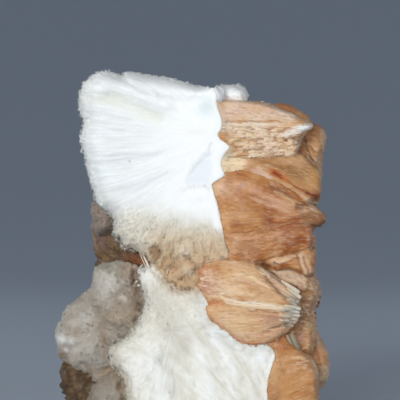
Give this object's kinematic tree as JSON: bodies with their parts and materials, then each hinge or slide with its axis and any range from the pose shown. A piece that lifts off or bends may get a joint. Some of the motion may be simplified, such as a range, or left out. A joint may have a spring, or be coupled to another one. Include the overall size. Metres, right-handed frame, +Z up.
{
  "type": "scolecite on stilbite mineral specimen",
  "caption": "Free-standing mineral specimen: white radial sprays and fuzzy balls of needles beside a column of peach bladed sheaves on a brown matrix, cut flat at the base.",
  "frame": {"origin": "on the flat cut at the base, under the middle of the front view", "axes": "+Z up along the specimen's length, -Y towards the broken front face, +X towards the stilbite side"},
  "size_m": [0.093, 0.0607, 0.1241],
  "materials": {
    "scolecite": "silky, finely fibrous, broken across its rays",
    "scolecite_clear": "frosty translucent needles",
    "stilbite": "pearly, striated along the blades",
    "stilbite_matrix": "dull, granular"
  },
  "bodies": {
    "root": {"scolecite_fan_upper": "scolecite", "scolecite_fan_lower": "scolecite", "scolecite_lump_top": "scolecite", "scolecite_spray_back": "scolecite", "scolecite_ball_left": "scolecite_clear", "scolecite_ball_upper_left": "scolecite_clear", "scolecite_ball_base_left": "scolecite_clear", "scolecite_tuft_left": "scolecite_clear", "stilbite_fan_right": "stilbite", "stilbite_sheaf_top": "stilbite", "stilbite_bow_tie": "stilbite", "stilbite_sheaf_second": "stilbite", "stilbite_sheaf_fourth": "stilbite", "stilbite_base_right": "stilbite", "stilbite_sheaf_top_rear": "stilbite", "stilbite_sheaf_rear_right": "stilbite", "stilbite_lobe_lower_right": "stilbite", "stilbite_sheaf_back_upper": "stilbite", "stilbite_sheaf_back_middle": "stilbite", "stilbite_sheaf_back_lower": "stilbite", "stilbite_base_back_left": "stilbite", "stilbite_base_back_right": "stilbite", "stilbite_matrix": "stilbite_matrix"}
  },
  "joints": []
}
